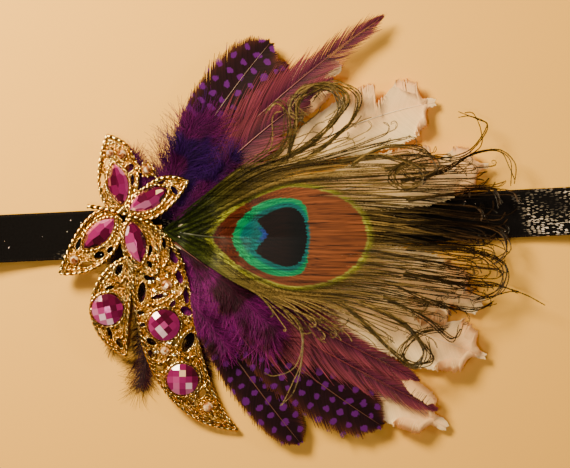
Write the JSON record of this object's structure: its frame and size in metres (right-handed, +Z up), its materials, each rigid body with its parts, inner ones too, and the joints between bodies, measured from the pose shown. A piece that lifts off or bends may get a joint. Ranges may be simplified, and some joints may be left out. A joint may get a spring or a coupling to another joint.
{
  "type": "feather headband",
  "caption": "Flapper headband: black stretch velvet band with a fan of peacock, guinea, hackle and curled goose feathers under a gold butterfly brooch set with pink stones.",
  "frame": {"origin": "middle of the folded band's underside, on the surface that it lies on", "axes": "+X along the band towards the tip of the peacock feather, +Y towards the upper side of the fan, +Z up from the surface"},
  "size_m": [0.2662, 0.1426, 0.0122],
  "materials": {
    "gold": "granular cast gilt",
    "velvet": "stretch velvet with small glitter dots",
    "amethyst_glass": "faceted and foiled",
    "blush_glass": "faceted and foiled",
    "peacock_barbs": "iridescent barbs",
    "guinea_barbs": "soft barbs with dots",
    "rose_barbs": "soft translucent barbs",
    "purple_down": "fine down",
    "ivory_barbs": "satin curled barbs"
  },
  "bodies": {
    "root": {"stretch_band": "velvet", "brooch_bar": "gold", "goose_feather_1": "ivory_barbs", "goose_feather_2": "ivory_barbs", "goose_feather_3": "ivory_barbs", "goose_feather_4": "ivory_barbs", "goose_feather_5": "ivory_barbs", "goose_feather_6": "ivory_barbs", "guinea_feather_1": "guinea_barbs", "guinea_feather_2": "guinea_barbs", "guinea_feather_3": "guinea_barbs", "guinea_feather_4": "guinea_barbs", "hackle_feather_1": "rose_barbs", "hackle_feather_2": "rose_barbs", "hackle_feather_3": "rose_barbs", "hackle_feather_4": "rose_barbs", "fluff_upper": "purple_down", "fluff_lower": "purple_down", "fluff_left": "purple_down", "peacock_feather": "peacock_barbs", "brooch_frame": "gold", "marquise_1": "amethyst_glass", "marquise_2": "amethyst_glass", "marquise_3": "amethyst_glass", "marquise_4": "amethyst_glass", "round_stone_1": "amethyst_glass", "round_stone_2": "amethyst_glass", "round_stone_3": "amethyst_glass", "chaton_1": "blush_glass", "chaton_2": "blush_glass", "chaton_3": "blush_glass", "chaton_4": "blush_glass", "chaton_5": "blush_glass", "chaton_6": "blush_glass", "chaton_7": "blush_glass"}
  },
  "joints": []
}
